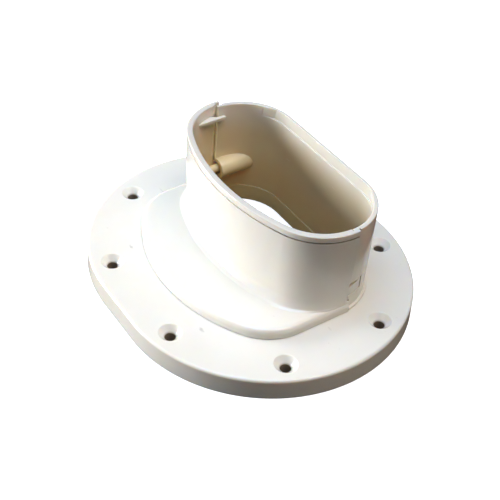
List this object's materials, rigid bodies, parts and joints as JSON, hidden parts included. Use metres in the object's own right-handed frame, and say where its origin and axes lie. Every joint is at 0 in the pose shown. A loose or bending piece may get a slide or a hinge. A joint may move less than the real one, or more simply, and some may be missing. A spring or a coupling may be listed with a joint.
{
  "type": "duct vent base",
  "caption": "Screw-down oblong vent base with a D-shaped duct neck, split into a base flange and a push-on front cover.",
  "frame": {"origin": "centre of the plate's underside, in the plane that rests on the deck or wall", "axes": "+X along the plate's length, +Y towards the flat rear wall of the neck, +Z out of the mounting surface; the front cover faces -Y"},
  "size_m": [0.1668, 0.1404, 0.0575],
  "materials": {
    "base_moulding": "semi-gloss ivory-white moulded plastic",
    "cover_moulding": "semi-gloss ivory-white moulded plastic"
  },
  "bodies": {
    "base": {"base_flange": "base_moulding"},
    "cover": {"front_cover": "cover_moulding"}
  },
  "joints": [
    {"name": "cover_pull_off", "type": "slide", "parent": "base", "child": "cover", "axis": [0, -1, 0], "range_m": [0, 0.1]}
  ]
}
